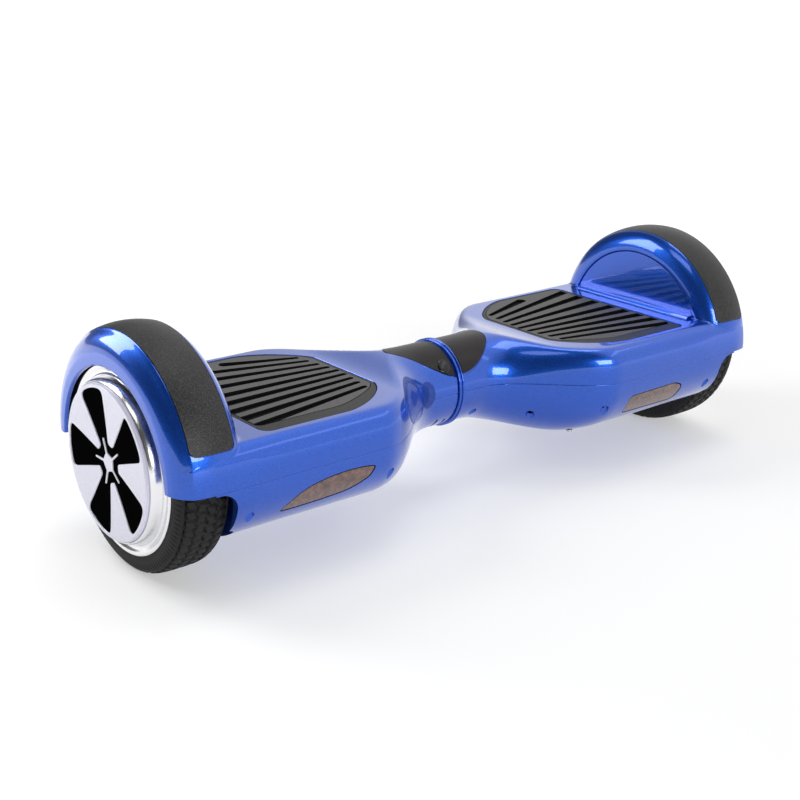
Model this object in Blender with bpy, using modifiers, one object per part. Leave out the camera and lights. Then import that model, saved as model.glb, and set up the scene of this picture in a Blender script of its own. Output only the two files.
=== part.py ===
"""Self balancing hoverboard: two foot platforms twisting on a central pivot and a hub motor wheel at each end

Metres, +Z up, X along both wheel axles, -Y to the front. The origin is on the ground under the middle.
Both halves come from the same functions: side is +1 for the right half (+X) and -1 for the left half.
"""

import math

import bmesh
import bpy
from mathutils import Matrix, Vector

# ------------------------------------------------------------------ driving dimensions
TYRE_R = 0.0825  # 6.5 inch tyre
AXLE_Z = TYRE_R  # the wheel axles and the pivot share one line
HALF_LENGTH = 0.2920
GAP = 0.0003  # between pieces that touch

NECK_R = 0.0340
NECK_END_X = 0.0031
BODY_HALF_DEPTH = 0.0930
DECK_HEIGHT = 0.0280  # flat deck above the axle line
KEEL_DEPTH = 0.0505  # flat underside below the axle line
TOP_CROWN = 0.0340  # height of the section before the deck flattens it
KEEL_CROWN = 0.0560
WALL = 0.0030
SPLIT_Z = 0.0815  # where the upper and lower shells meet

WHEEL_WALL_X = 0.2335  # inboard face of the wall beside the wheel
WELL_X = 0.2385  # the same wall's face in the wheel well
ARCH_X = 0.2450
ARCH_CORNER_R = 0.0135
OPENING_R = 0.0705
OPENING_DROP = 0.0040
FENDER_CROWN_X = 0.2600
FENDER_CROWN_R = 0.0938
FENDER_CURVE = 8.0  # how fast the crown falls off, per metre
STRIP_X = (0.2430, 0.2740)
STRIP_END_Z = 0.1100
STRIP_THICK = 0.0015

MAT_HALF_WIDTH = 0.0770
MAT_X = (0.0900, 0.2130)
MAT_CORNER_X = 0.1430  # where the rounded inboard corner starts
MAT_CORNER_Y = 0.0360
MAT_THICK = 0.0040
MAT_TRAVEL = 0.0015
DECK_Z = AXLE_Z + DECK_HEIGHT
POCKET_FLOOR_Z = DECK_Z - MAT_THICK - MAT_TRAVEL - 0.0005
CAVITY_TOP = POCKET_FLOOR_Z - WALL - AXLE_Z

AXLE_R = 0.0080
BEARING_R = (0.0083, 0.0142)
PIVOT_R = (0.0080, 0.0122)
BUSH_R = (0.0125, 0.0162)
PIVOT_BORE_R = 0.0165

ROOF_Z = 0.0945  # top of the chassis casting
SKIRT_Z = 0.0560  # its lower edge

SOCKET_X, BUTTON_X = 0.1250, 0.1600
REAR_Z = 0.0620  # height of both on the rear wall

RING_POINTS = 28
KEEL_POWER, TOP_POWER = 2.4, 4.4  # how square the platform's section is below and above the axle line
TYRE_STEPS, RIM_STEPS, FENDER_STEPS, OPENING_STEPS = 40, 24, 32, 48

# colour, roughness, metallic
FINISHES = {
    "blue_paint": ((0.02, 0.09, 0.55), 0.22, 0.45),
    "black_gloss": ((0.01, 0.01, 0.012), 0.12, 0.0),
    "mat_rubber": ((0.30, 0.29, 0.29), 0.75, 0.0),
    "strip_rubber": ((0.05, 0.05, 0.05), 0.80, 0.0),
    "tyre_rubber": ((0.015, 0.015, 0.016), 0.70, 0.0),
    "smoked_lens": ((0.16, 0.10, 0.09), 0.30, 0.0),
    "cast_aluminium": ((0.55, 0.56, 0.58), 0.45, 1.0),
    "chrome": ((0.80, 0.81, 0.83), 0.10, 1.0),
    "steel": ((0.55, 0.56, 0.57), 0.30, 1.0),
    "bronze": ((0.50, 0.34, 0.16), 0.40, 1.0),
    "magnet": ((0.25, 0.25, 0.27), 0.35, 1.0),
    "lamination": ((0.30, 0.26, 0.24), 0.50, 1.0),
    "circuit_board": ((0.03, 0.20, 0.08), 0.50, 0.0),
    "battery_wrap": ((0.04, 0.16, 0.42), 0.50, 0.0),
    "black_plastic": ((0.02, 0.02, 0.022), 0.50, 0.0),
    "cap_rubber": ((0.03, 0.03, 0.032), 0.70, 0.0),
    "cable": ((0.02, 0.02, 0.02), 0.60, 0.0),
    "cap_white": ((0.75, 0.75, 0.75), 0.25, 0.2),
}


# ------------------------------------------------------------------ scene and object helpers
def clear_scene():
    for obj in list(bpy.data.objects):
        bpy.data.objects.remove(obj, do_unlink=True)


def new_collection(name):
    collection = bpy.data.collections.new(name)
    bpy.context.scene.collection.children.link(collection)
    return collection


def material(name):
    """The finish's own Principled material, made the first time that it is asked for."""
    found = bpy.data.materials.get(name)
    if found:
        return found
    colour, roughness, metallic = FINISHES[name]
    made = bpy.data.materials.new(name)
    made.use_nodes = True
    shader = made.node_tree.nodes["Principled BSDF"]
    shader.inputs["Base Color"].default_value = (*colour, 1.0)
    shader.inputs["Roughness"].default_value = roughness
    shader.inputs["Metallic"].default_value = metallic
    made.diffuse_color = (*colour, 1.0)
    return made


def piece(name, mesh, finish=None):
    """An object from a mesh: a part with a finish, or a cutting shape when it has none."""
    obj = bpy.data.objects.new(name, mesh)
    if finish:
        obj.data.materials.append(material(finish))
        bpy.data.collections["hoverboard"].objects.link(obj)
    else:
        obj.hide_render = True
        obj.display_type = "WIRE"
        bpy.data.collections["cutters"].objects.link(obj)
    return obj


def mesh_from(form, name):
    bmesh.ops.recalc_face_normals(form, faces=form.faces)
    mesh = bpy.data.meshes.new(name)
    form.to_mesh(mesh)
    form.free()
    return mesh


def boolean(obj, operation, other):
    modifier = obj.modifiers.new(f"{operation.lower()}_{other.name}", "BOOLEAN")
    modifier.operation = operation
    modifier.object = other


def cut(obj, *others):
    for other in others:
        boolean(obj, "DIFFERENCE", other)


def join(obj, *others):
    for other in others:
        boolean(obj, "UNION", other)


def box(name, low, high, side=1, finish=None):
    """A box between two corners, given for the right half and mirrored to the side asked for."""
    low, high = Vector(low), Vector(high)
    centre = (low + high) / 2
    centre.x *= side
    form = bmesh.new()
    scale = Matrix.Diagonal((*(high - low), 1.0))
    bmesh.ops.create_cube(form, size=1.0, matrix=Matrix.Translation(centre) @ scale)
    return piece(name, mesh_from(form, name), finish)


def rod(name, start, end, radius, side=1, finish=None, segments=16):
    """A round rod between two points, given for the right half."""
    start, end = Vector(start), Vector(end)
    start.x *= side
    end.x *= side
    along = end - start
    turn = along.to_track_quat("Z", "Y").to_matrix().to_4x4()
    form = bmesh.new()
    bmesh.ops.create_cone(
        form, cap_ends=True, segments=segments, radius1=radius, radius2=radius,
        depth=along.length, matrix=Matrix.Translation((start + end) / 2) @ turn,
    )
    return piece(name, mesh_from(form, name), finish)


def prism(name, outline, low, high, side=1, finish=None, upright=True):
    """A flat outline pulled along Z from low to high, or along Y where upright is False."""
    form = bmesh.new()
    if upright:
        corners = [(x * side, y, low) for x, y in outline]
        pull = Vector((0, 0, high - low))
    else:
        corners = [(x * side, low, z) for x, z in outline]
        pull = Vector((0, high - low, 0))
    face = form.faces.new([form.verts.new(corner) for corner in corners])
    pulled = bmesh.ops.extrude_face_region(form, geom=[face])["geom"]
    bmesh.ops.translate(form, verts=[v for v in pulled if isinstance(v, bmesh.types.BMVert)], vec=pull)
    return piece(name, mesh_from(form, name), finish)


def turned(name, profile, side=1, finish=None, steps=24):
    """A shape turned about the axle line from (distance along X, radius) points.

    It is a closed ring where no end is on the axis.

    A flat of the turned shape faces straight down.
    """
    closed = profile[0][1] > 0 and profile[-1][1] > 0
    ring = profile + profile[:1]
    area = sum(a[0] * b[1] - b[0] * a[1] for a, b in zip(ring, ring[1:]))
    if area < 0:
        profile = profile[::-1]
    half_step = math.pi / steps
    points = [(r * math.cos(half_step), r * math.sin(half_step), x) for x, r in profile]
    edges = [(i, i + 1) for i in range(len(points) - 1)]
    if closed:
        edges.append((len(points) - 1, 0))
    mesh = bpy.data.meshes.new(name)
    mesh.from_pydata(points, edges, [])
    obj = piece(name, mesh, finish)
    obj.location.z = AXLE_Z
    obj.rotation_euler.y = side * math.pi / 2
    screw = obj.modifiers.new("turn", "SCREW")
    screw.axis = "Z"
    screw.steps = screw.render_steps = steps
    screw.use_merge_vertices = not closed
    screw.merge_threshold = 0.00001
    return obj


def grown(outline, margin):
    """The outline made larger by a margin on every side."""
    spans = []
    for values in zip(*outline):
        middle, half = (max(values) + min(values)) / 2, (max(values) - min(values)) / 2
        spans.append((middle, (half + margin) / half))
    return [tuple(m + (v - m) * k for v, (m, k) in zip(point, spans)) for point in outline]


def arc(centre, radius, start, end, steps):
    """Points on an arc, angles in degrees."""
    angles = [math.radians(start + (end - start) * i / steps) for i in range(steps + 1)]
    return [(centre[0] + radius * math.cos(a), centre[1] + radius * math.sin(a)) for a in angles]


# ------------------------------------------------------------------ the body's form
def ease(x, start, end):
    """0 before start, 1 after end, and smooth between."""
    s = min(max((x - start) / (end - start), 0.0), 1.0)
    return s * s * (3.0 - 2.0 * s)


def section(x, inset, deck):
    """The body's outline at a distance x from the middle, as (y, z) points about the axle line.

    It grows from a round neck to a platform with a flat deck, upright sides and a wide rounded keel.
    """
    shoulder = ease(x, 0.025, 0.120)
    width = NECK_R + (BODY_HALF_DEPTH - NECK_R) * shoulder + 0.0015 * ease(x, 0.190, 0.240) - inset
    top = TOP_CROWN - inset
    bottom = NECK_R + (KEEL_CROWN - NECK_R) * ease(x, 0.015, 0.100) - inset
    flat_top = top + (deck - top) * ease(x, 0.045, 0.088)
    flat_keel = NECK_R + (KEEL_DEPTH - NECK_R) * ease(x, 0.015, 0.100) - inset
    power_top = 2.0 + (TOP_POWER - 2.0) * ease(x, 0.045, 0.110)
    power_keel = 2.0 + (KEEL_POWER - 2.0) * ease(x, 0.045, 0.110)
    points = []
    for i in range(RING_POINTS):
        angle = 2.0 * math.pi * i / RING_POINTS
        c, s = math.cos(angle), math.sin(angle)
        power, height = (power_top, top) if s >= 0 else (power_keel, bottom)
        y = math.copysign(width * abs(c) ** (2.0 / power), c)
        z = math.copysign(height * abs(s) ** (2.0 / power), s)
        points.append((y, min(max(z, -flat_keel), flat_top)))
    return points


def body_solid(name, side, inset=0.0, deck=DECK_HEIGHT, reach=(NECK_END_X, 0.2620), finish=None):
    """A closed loft through the body's sections, inset from the outer skin."""
    inner = [0.020, 0.035, 0.048, 0.058, 0.068, 0.078, 0.088, 0.098, 0.110, 0.125, 0.190, 0.220]
    stations = [reach[0]] + [x for x in inner if reach[0] < x < reach[1]] + [reach[1]]
    form = bmesh.new()
    rings = [
        [form.verts.new((x * side, y, AXLE_Z + z)) for y, z in section(max(x, 0.0), inset, deck)]
        for x in stations
    ]
    for near, far in zip(rings, rings[1:]):
        for i in range(RING_POINTS):
            j = (i + 1) % RING_POINTS
            form.faces.new((near[i], near[j], far[j], far[i]))
    form.faces.new(rings[0])
    form.faces.new(rings[-1])
    return piece(name, mesh_from(form, name), finish)


def fender_turned(name, profile, side, finish=None):
    """A turned shape whose flats, not its corners, lie at the profile's radius."""
    scale = 1.0 / math.cos(math.pi / FENDER_STEPS)
    return turned(name, [(x, r * scale) for x, r in profile], side, finish, FENDER_STEPS)


def fender_radius(x):
    return FENDER_CROWN_R - FENDER_CURVE * (x - FENDER_CROWN_X) ** 2


def crown_points(inset, steps=4):
    """(x, radius) along the fender's crown under the bumper strip, set in from its surface."""
    low, high = STRIP_X
    return [
        (low + (high - low) * i / steps, fender_radius(low + (high - low) * i / steps) - inset)
        for i in range(steps + 1)
    ]


def wheel_wall_and_fender(name, side):
    """The solid that the fender and the wall beside the wheel are cut from."""
    inboard = [(0.2345, 0.0), (0.2345, 0.0735), (WHEEL_WALL_X, 0.0745), (0.2340, 0.0800), (0.2375, 0.0872)]
    outboard = [(0.2805, 0.0878), (0.2850, 0.0815), (0.2870, 0.0755), (0.2870, 0.0)]
    return fender_turned(name, inboard + crown_points(0.0) + outboard, side)


def wheel_well(name, side):
    """The room for the wheel."""
    inboard = [(WELL_X, 0.0), (WELL_X, 0.0845), (0.2420, 0.0868)]
    roof = [(0.2500, 0.0886), (0.2600, 0.0895), (0.2700, 0.0886), (0.2765, 0.0850)]
    outboard = [(0.2820, 0.0790), (0.2842, 0.0735), (0.2842, 0.0)]
    return fender_turned(name, inboard + roof + outboard, side)


def rim_opening(name, side):
    """The round opening in the fender that the hub looks out of, centred a little below the axle."""
    centre_z = AXLE_Z - OPENING_DROP
    return rod(name, (0.2700, 0, centre_z), (0.3000, 0, centre_z), OPENING_R, side, segments=OPENING_STEPS)


def strip_ring(name, side, inner_inset, outer_inset, margin, lower_end, finish=None):
    """A ring on the fender's crown, cut off level at its two lower ends."""
    outer = crown_points(outer_inset)
    inner = crown_points(inner_inset)
    outer[0], outer[-1] = (outer[0][0] - margin, outer[0][1]), (outer[-1][0] + margin, outer[-1][1])
    inner[0], inner[-1] = (inner[0][0] - margin, inner[0][1]), (inner[-1][0] + margin, inner[-1][1])
    ring = fender_turned(name, outer + inner[::-1], side, finish)
    below = box(f"{name}_below", (0.20, -0.20, -0.20), (0.32, 0.20, lower_end), side)
    cut(ring, below)
    return ring


def arch_cutter(name, side):
    """Everything outboard of the body under the fender, with a rounded corner."""
    corner = (ARCH_X + ARCH_CORNER_R, SPLIT_Z - ARCH_CORNER_R)
    outline = [(ARCH_X, -0.05)] + arc(corner, ARCH_CORNER_R, 180, 90, 5) + [(0.35, SPLIT_Z), (0.35, -0.05)]
    return prism(name, outline, -0.2, 0.2, side, upright=False)


def mat_outline():
    """The foot mat in plan: a blunt rounded inboard end and two small outboard corners."""
    reach, drop, power = MAT_CORNER_X - MAT_X[0], MAT_HALF_WIDTH - MAT_CORNER_Y, 1.5
    corner = []
    for i in range(5):
        angle = math.radians(90.0 * i / 4)
        x = MAT_CORNER_X - reach * math.cos(angle) ** (2.0 / power)
        y = -MAT_CORNER_Y - drop * math.sin(angle) ** (2.0 / power)
        corner.append((x, y))
    small = 0.008
    front = corner + arc((MAT_X[1] - small, -MAT_HALF_WIDTH + small), small, -90, 0, 3)
    return front + [(x, -y) for x, y in reversed(front)]


def window_outline(side):
    """The light window in front view: a pointed leaf on the left half, a slanted slot on the right half."""
    if side > 0:
        return [(0.1345, 0.0560), (0.1345, 0.0640), (0.1400, 0.0672), (0.1880, 0.0676),
                (0.1955, 0.0650), (0.1985, 0.0600), (0.1960, 0.0535), (0.1880, 0.0500), (0.1440, 0.0505)]
    return [(0.1308, 0.0708), (0.1400, 0.0728), (0.1560, 0.0735), (0.1720, 0.0722), (0.1860, 0.0694),
            (0.1950, 0.0655), (0.2030, 0.0593), (0.2072, 0.0553), (0.1950, 0.0543), (0.1700, 0.0551),
            (0.1520, 0.0567), (0.1430, 0.0597), (0.1346, 0.0642)]


def panel_outline(side):
    """The black panel on the neck in plan: short and rounded on the right, long and pointed on the left."""
    length, power = (0.0390, 2.4) if side > 0 else (0.0490, 1.25)
    front = []
    for i in range(7):
        share = i / 6
        front.append((NECK_END_X + 0.0012 + length * share, -0.0285 * (1.0 - share**power) ** (1.0 / power)))
    return front + [(x, -y) for x, y in reversed(front[:-1])]


# ------------------------------------------------------------------ one half's covers
def plunger_places():
    return [(0.146, -0.036), (0.146, 0.036)]


def rear_place(x, depth):
    """A point on the rear wall's normal at a distance x along the board, depth inside the skin."""
    drop = (AXLE_Z - REAR_Z) / KEEL_CROWN
    reach = 1.0 - drop**KEEL_POWER
    slope = BODY_HALF_DEPTH / KEEL_CROWN * drop ** (KEEL_POWER - 1.0) * reach ** (1.0 / KEEL_POWER - 1.0)
    skin = Vector((x, BODY_HALF_DEPTH * reach ** (1.0 / KEEL_POWER), REAR_Z))
    return skin - depth * Vector((0.0, 1.0, -slope)).normalized()


def shells(half, side):
    skin = body_solid(f"skin_{half}", side)
    cavity = body_solid(f"cavity_{half}", side, WALL, CAVITY_TOP, reach=(-0.010, WELL_X - WALL))
    fender = wheel_wall_and_fender(f"fender_{half}", side)
    well = wheel_well(f"well_{half}", side)
    opening = rim_opening(f"rim_opening_{half}", side)
    arch = arch_cutter(f"arch_{half}", side)
    axle_hole = rod(f"axle_hole_{half}", (0.230, 0, AXLE_Z), (0.245, 0, AXLE_Z), 0.0105, side)
    groove = strip_ring(f"strip_groove_{half}", side, STRIP_THICK + GAP, -0.01, GAP, STRIP_END_Z - GAP)

    upper = piece(f"upper_shell_{half}", skin.data.copy(), "blue_paint")
    join(upper, fender)
    lower_room = box(f"below_split_{half}", (-0.02, -0.2, -0.2), (0.32, 0.2, SPLIT_Z), side)
    pocket = prism(f"pocket_{half}", grown(mat_outline(), 0.0005), POCKET_FLOOR_Z, 0.15, side)
    cut(upper, well, opening, groove, cavity, lower_room, pocket, axle_hole)
    for i, (x, y) in enumerate(plunger_places()):
        cut(upper, rod(f"plunger_hole_{half}_{i}", (x, y, 0.095), (x, y, 0.120), 0.0048, side, segments=12))

    lower = piece(f"lower_shell_{half}", skin.data.copy(), "blue_paint")
    upper_room = box(f"above_split_{half}", (-0.02, -0.2, SPLIT_Z - GAP), (0.32, 0.2, 0.2), side)
    window = prism(f"window_{half}", grown(window_outline(side), GAP), -0.12, -0.05, side, upright=False)
    cut(lower, upper_room, well, arch, cavity, axle_hole, window)
    return skin, upper, lower


def skin_patch(name, side, skin, outline, depth, finish, low, high, upright):
    """A thin plate that follows the outer skin inside an outline."""
    plate = prism(name, outline, low, high, side, finish, upright)
    boolean(plate, "INTERSECT", skin)
    cut(plate, body_solid(f"{name}_back", side, depth, reach=(-0.010, 0.2600)))
    return plate


def covers(half, side):
    skin, upper, lower = shells(half, side)
    skin_patch(f"light_lens_{half}", side, skin, window_outline(side), 0.0024, "smoked_lens",
               -0.12, -0.05, False)
    panel = panel_outline(side)
    skin_patch(f"display_panel_{half}", side, skin, panel, 0.0012, "black_gloss", 0.084, 0.150, True)
    recess = prism(f"panel_recess_{half}", grown(panel, GAP), 0.084, 0.150, side)
    cut(recess, body_solid(f"recess_floor_{half}", side, 0.0015, reach=(-0.010, 0.2600)))
    cut(upper, recess)
    strip_ring(f"bumper_strip_{half}", side, STRIP_THICK, 0.0, 0.0, STRIP_END_Z, "strip_rubber")
    prism(f"foot_mat_{half}", mat_outline(), DECK_Z - MAT_THICK, DECK_Z, side, "mat_rubber")
    for name, (x, y) in zip(("front", "rear"), plunger_places()):
        ends = (x, y, 0.0989), (x, y, DECK_Z - MAT_THICK - GAP)
        rod(f"mat_plunger_{name}_{half}", *ends, 0.0042, side, "cap_rubber", segments=12)
    return lower


# ------------------------------------------------------------------ one half's frame and electronics
def chassis(half, side):
    outer = [(0.060, -0.030), (0.092, -0.066), (0.2345, -0.066),
             (0.2345, 0.066), (0.092, 0.066), (0.060, 0.030)]
    inner = [(0.066, -0.0285), (0.0935, -0.062), (0.2305, -0.062),
             (0.2305, 0.062), (0.0935, 0.062), (0.066, 0.0285)]
    frame = prism(f"chassis_{half}", outer, SKIRT_Z, ROOF_Z, side, "cast_aluminium")
    bay = prism(f"bay_{half}", inner, SKIRT_Z - 0.02, ROOF_Z - 0.003, side)
    tube = rod(f"neck_tube_{half}", (0.0035, 0, AXLE_Z), (0.0612, 0, AXLE_Z), 0.0265, side, segments=24)
    saddle = box(f"saddle_{half}", (0.206, -0.020, AXLE_Z + 0.0005), (0.2320, 0.020, ROOF_Z - 0.002), side)
    bore = rod(f"neck_bore_{half}", (0.0, 0, AXLE_Z), (0.070, 0, AXLE_Z), PIVOT_BORE_R, side, segments=24)
    groove = rod(f"axle_groove_{half}", (0.200, 0, AXLE_Z), (0.240, 0, AXLE_Z), AXLE_R + GAP, side)
    slot = box(f"axle_slot_{half}", (0.2290, -0.0083, 0.040), (0.2360, 0.0083, AXLE_Z), side)
    cut(frame, bay)
    join(frame, tube, saddle)
    cut(frame, bore, groove, slot)

    clamp = box(f"axle_clamp_{half}", (0.2070, -0.0190, 0.0655), (0.2285, 0.0190, AXLE_Z), side,
                "cast_aluminium")
    cut(clamp, groove)
    for name, y in (("front", -0.0140), ("rear", 0.0140)):
        hole = rod(f"clamp_hole_{name}_{half}", (0.218, y, 0.060), (0.218, y, 0.0890), 0.0024, side,
                   segments=10)
        cut(clamp, hole)
        cut(frame, hole)
        screw = rod(f"clamp_screw_{name}_{half}", (0.218, y, 0.0640), (0.218, y, 0.0880), 0.0020, side,
                    "steel", 10)
        head = rod(f"screw_head_{name}_{half}", (0.218, y, 0.0612), (0.218, y, 0.0652), 0.0038, side,
                   segments=12)
        join(screw, head)


def boards(half, side):
    box(f"sensor_board_{half}", (0.126, -0.046, ROOF_Z + 0.001), (0.166, 0.046, ROOF_Z + 0.0026), side,
        "circuit_board")
    box(f"light_board_{half}", (0.140, -0.0790, 0.0560), (0.190, -0.0774, 0.0700), side, "circuit_board")


def battery():
    pack = box("battery_pack", (0.100, -0.046, 0.0420), (0.190, 0.046, 0.0890), -1, "battery_wrap")
    bevel = pack.modifiers.new("rounded", "BEVEL")
    bevel.width = 0.006
    bevel.segments = 2


def main_board():
    board = box("main_board", (0.105, -0.045, 0.0620), (0.195, 0.045, 0.0636), 1, "circuit_board")
    join(
        board,
        box("heat_sink", (0.150, -0.035, 0.0630), (0.190, 0.035, 0.0740)),
        box("capacitors", (0.112, -0.030, 0.0630), (0.124, 0.010, 0.0780)),
        box("plugs", (0.130, -0.040, 0.0630), (0.142, 0.030, 0.0700)),
    )


def rear_fittings(lower):
    """The power button and the charging socket with its cap, on the right half's rear wall."""
    button_hole = rod("button_hole", rear_place(BUTTON_X, 0.02), rear_place(BUTTON_X, -0.02), 0.0072)
    socket_hole = rod("socket_hole", rear_place(SOCKET_X, 0.02), rear_place(SOCKET_X, -0.02), 0.0082)
    cut(lower, button_hole, socket_hole)
    rod("power_button", rear_place(BUTTON_X, 0.0100), rear_place(BUTTON_X, -0.0016), 0.0068, 1,
        "black_plastic")
    rod("power_switch", rear_place(BUTTON_X, 0.0190), rear_place(BUTTON_X, 0.0115), 0.0080, 1,
        "black_plastic")
    socket = rod("charge_socket", rear_place(SOCKET_X, 0.0190), rear_place(SOCKET_X, 0.0010), 0.0078, 1,
                 "black_plastic")
    cut(socket, rod("socket_bore", rear_place(SOCKET_X, 0.0150), rear_place(SOCKET_X, -0.0100), 0.0056))
    rod("charge_cap", rear_place(SOCKET_X, -0.0004), rear_place(SOCKET_X, -0.0020), 0.0086, 1,
        "cap_rubber", 20)


def cable(name, route, diameter, side=1):
    """A cable along a smooth line through its route's points."""
    curve = bpy.data.curves.new(name, "CURVE")
    curve.dimensions = "3D"
    curve.bevel_depth = diameter / 2
    curve.bevel_resolution = 2
    curve.use_fill_caps = True
    points = [Vector((x * side, y, z)) for x, y, z in route]
    ends = [points[0] * 2 - points[1]] + points + [points[-1] * 2 - points[-2]]
    line = []
    for before, start, end, after in zip(ends, ends[1:], ends[2:], ends[3:]):
        for t in (0.0, 1 / 3, 2 / 3):
            pull = (end - before) * t + (2 * before - 5 * start + 4 * end - after) * t**2
            line.append(start + (pull + (3 * start - before - 3 * end + after) * t**3) / 2)
    line.append(points[-1])
    spline = curve.splines.new("POLY")
    spline.points.add(len(line) - 1)
    for point, place in zip(spline.points, line):
        point.co = (*place, 1.0)
    obj = bpy.data.objects.new(name, curve)
    curve.materials.append(material("cable"))
    bpy.data.collections["hoverboard"].objects.link(obj)


def cables():
    cable("motor_cable_left", [(0.2054, 0, AXLE_Z), (0.2020, 0.001, AXLE_Z), (0.1975, 0.012, 0.081),
                               (0.1960, 0.040, 0.075), (0.180, 0.0545, 0.071), (0.140, 0.0550, 0.070),
                               (0.098, 0.048, 0.072), (0.078, 0.022, 0.076), (0.064, 0.008, 0.078)],
          0.005, -1)
    cable("motor_cable_right", [(0.2054, 0, AXLE_Z), (0.2020, 0.001, AXLE_Z), (0.1990, 0.010, 0.081),
                                (0.1985, 0.026, 0.074),
                                (0.1970, 0.034, 0.068)],
          0.005)
    cable("centre_harness", [(-0.0980, 0, AXLE_Z), (-0.050, 0, AXLE_Z), (0.0, 0, AXLE_Z), (0.062, 0, AXLE_Z),
                             (0.085, 0, 0.0800), (0.105, 0, 0.0740), (0.1115, 0, 0.0735)], 0.007)


# ------------------------------------------------------------------ wheels and pivot
def wheel(half, side):
    tyre_r = TYRE_R / math.cos(math.pi / TYRE_STEPS)
    tread = [(0.2416, 0.0740), (0.2436, 0.0795), (0.2480, 0.0820), (0.2550, tyre_r), (0.2673, tyre_r),
             (0.2743, 0.0820), (0.2787, 0.0795), (0.2807, 0.0740), (0.2807, 0.0684)]
    bead = [(0.2788, 0.0680), (0.2788, 0.0642), (0.2440, 0.0642), (0.2416, 0.0665)]
    turned(f"tyre_{half}", tread + bead, side, "tyre_rubber", TYRE_STEPS)
    rim_front = [(0.2895, 0.0562), (0.2895, 0.0575), (0.2850, 0.0612), (0.2816, 0.0630), (0.2816, 0.0677)]
    rim_back = [(0.2792, 0.0677), (0.2792, 0.0637), (0.2445, 0.0637), (0.2445, 0.0600)]
    rim_inside = [(0.2820, 0.0600), (0.2820, 0.0185), (0.2775, 0.0185), (0.2775, 0.0145), (0.2856, 0.0145),
                  (0.2856, 0.0562)]
    turned(f"hub_rim_{half}", rim_front + rim_back + rim_inside, side, "chrome", RIM_STEPS)
    cap = [(HALF_LENGTH, 0.0), (HALF_LENGTH, 0.0480), (0.2905, 0.0557), (0.2860, 0.0557), (0.2860, 0.0)]
    turned(f"hub_cap_{half}", cap, side, "cap_white", RIM_STEPS)
    cover = [(0.2405, 0.0145), (0.2405, 0.0590), (0.2442, 0.0630), (0.2442, 0.0190), (0.2495, 0.0190),
             (0.2495, 0.0145)]
    turned(f"motor_cover_{half}", cover, side, "cast_aluminium", RIM_STEPS)
    magnets = [(0.2500, 0.0564), (0.2500, 0.0596), (0.2760, 0.0596), (0.2760, 0.0564)]
    turned(f"magnet_ring_{half}", magnets, side, "magnet", RIM_STEPS)
    for name, start, end in (("inner", 0.2430, 0.2490), ("outer", 0.2785, 0.2845)):
        ring = [(start, BEARING_R[0]), (start, BEARING_R[1]), (end, BEARING_R[1]), (end, BEARING_R[0])]
        turned(f"bearing_{name}_{half}", ring, side, "steel", 20)
    rod(f"wheel_axle_{half}", (0.2060, 0, AXLE_Z), (0.2848, 0, AXLE_Z), AXLE_R, side, "steel", 20)
    stator(half, side)


def stator(half, side):
    """Laminated core: a hub with teeth that end in the broad shoes under the magnets."""
    teeth, shoe_r, waist_r, root_r = 18, 0.0555, 0.0520, 0.0300
    pitch = 2.0 * math.pi / teeth
    outline = []
    for i in range(teeth):
        corners = [(root_r, -0.5), (root_r, -0.2), (waist_r, -0.2), (shoe_r, -0.42),
                   (shoe_r, 0.42), (waist_r, 0.2), (root_r, 0.2)]
        for radius, share in corners[1:]:
            angle = (i + share) * pitch
            outline.append((radius * math.cos(angle), radius * math.sin(angle)))
    core = prism(f"stator_{half}", outline, 0.2525, 0.2735, 1, "lamination")
    core.data.transform(Matrix.Rotation(math.copysign(math.pi / 2, side), 4, "Y"))
    core.data.transform(Matrix.Translation((0.0, 0.0, AXLE_Z)))
    cut(core, rod(f"stator_bore_{half}", (0.250, 0, AXLE_Z), (0.276, 0, AXLE_Z), AXLE_R + GAP, side))


def pivot():
    shaft = [(-0.0560, PIVOT_R[0]), (-0.0560, PIVOT_R[1]), (0.0560, PIVOT_R[1]), (0.0560, PIVOT_R[0])]
    turned("pivot_shaft", shaft, 1, "steel", 24)
    for name, start, end in (("inner", 0.0050, 0.0200), ("outer", 0.0350, 0.0500)):
        ring = [(start, BUSH_R[0]), (start, BUSH_R[1]), (end, BUSH_R[1]), (end, BUSH_R[0])]
        turned(f"pivot_bush_{name}", ring, 1, "bronze", 24)
    ring = [(0.0508, BUSH_R[0]), (0.0508, 0.0155), (0.0524, 0.0155), (0.0524, BUSH_R[0])]
    turned("pivot_retaining_ring", ring, 1, "steel", 24)
    bead = [(-0.0027, 0.0290), (-0.0027, 0.0330), (0.0, 0.0344), (0.0027, 0.0330), (0.0027, 0.0290)]
    turned("collar_ring", bead, 1, "blue_paint", 28)


def main():
    clear_scene()
    new_collection("hoverboard")
    new_collection("cutters")
    for half, side in (("left", -1), ("right", 1)):
        lower = covers(half, side)
        if side > 0:
            rear_fittings(lower)
        chassis(half, side)
        boards(half, side)
        wheel(half, side)
    battery()
    main_board()
    cables()
    pivot()


main()
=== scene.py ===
"""Looks of the self balancing hoverboard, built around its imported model.

Metres, +Z up, X along both wheel axles, -Y to the front. side is +1 for the right half and -1 for the
left half. A skin is given by its distance from the axle line at an angle round it: 0 at the rear and
90 degrees up.
"""

import math

import bmesh
import bpy
import numpy as np
from mathutils import Matrix, Vector


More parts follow.
